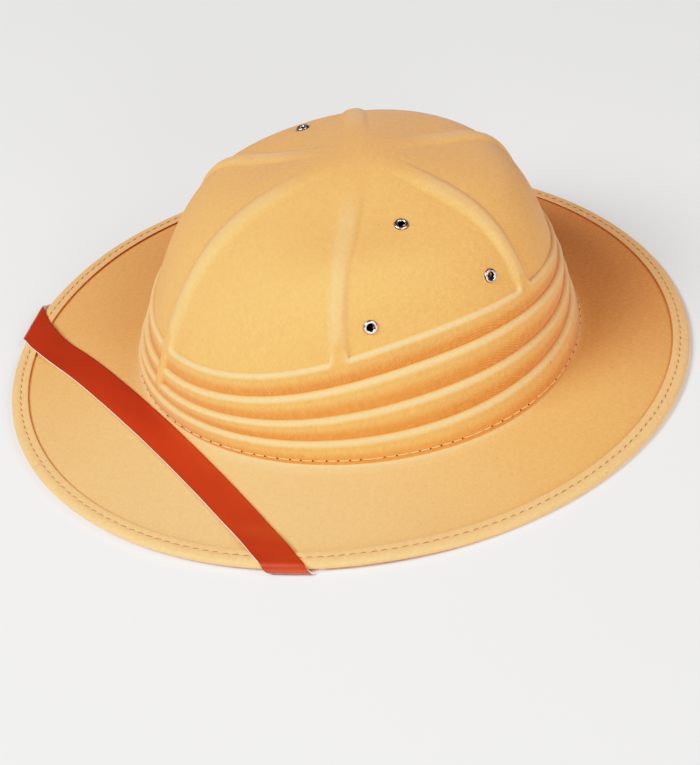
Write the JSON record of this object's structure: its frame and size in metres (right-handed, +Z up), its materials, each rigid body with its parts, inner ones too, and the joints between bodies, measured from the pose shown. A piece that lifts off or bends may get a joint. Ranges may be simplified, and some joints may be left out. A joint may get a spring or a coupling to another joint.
{
  "type": "pith helmet",
  "caption": "Cloth-covered pith helmet with a ribbed, pleated crown, bound oval brim, side eyelets and a leather-look chin strap over the front brim.",
  "frame": {"origin": "on the surface the hat rests on, below the middle of its bounding box", "axes": "+Z up, the front of the hat faces -Y, +X is the wearer's left"},
  "size_m": [0.3077, 0.3303, 0.1067],
  "materials": {
    "canvas": "fine tan canvas over moulded foam, matte",
    "binding": "woven edge tape, sewn with a brown thread",
    "strap": "smooth, glossy red-brown",
    "nickel": "bright nickel"
  },
  "bodies": {
    "root": {"helmet_shell": "canvas", "brim_binding": "binding", "chin_strap": "strap", "eyelet_left_1": "nickel", "eyelet_left_2": "nickel", "eyelet_left_3": "nickel", "eyelet_right_1": "nickel", "eyelet_right_2": "nickel", "eyelet_right_3": "nickel"}
  },
  "joints": []
}
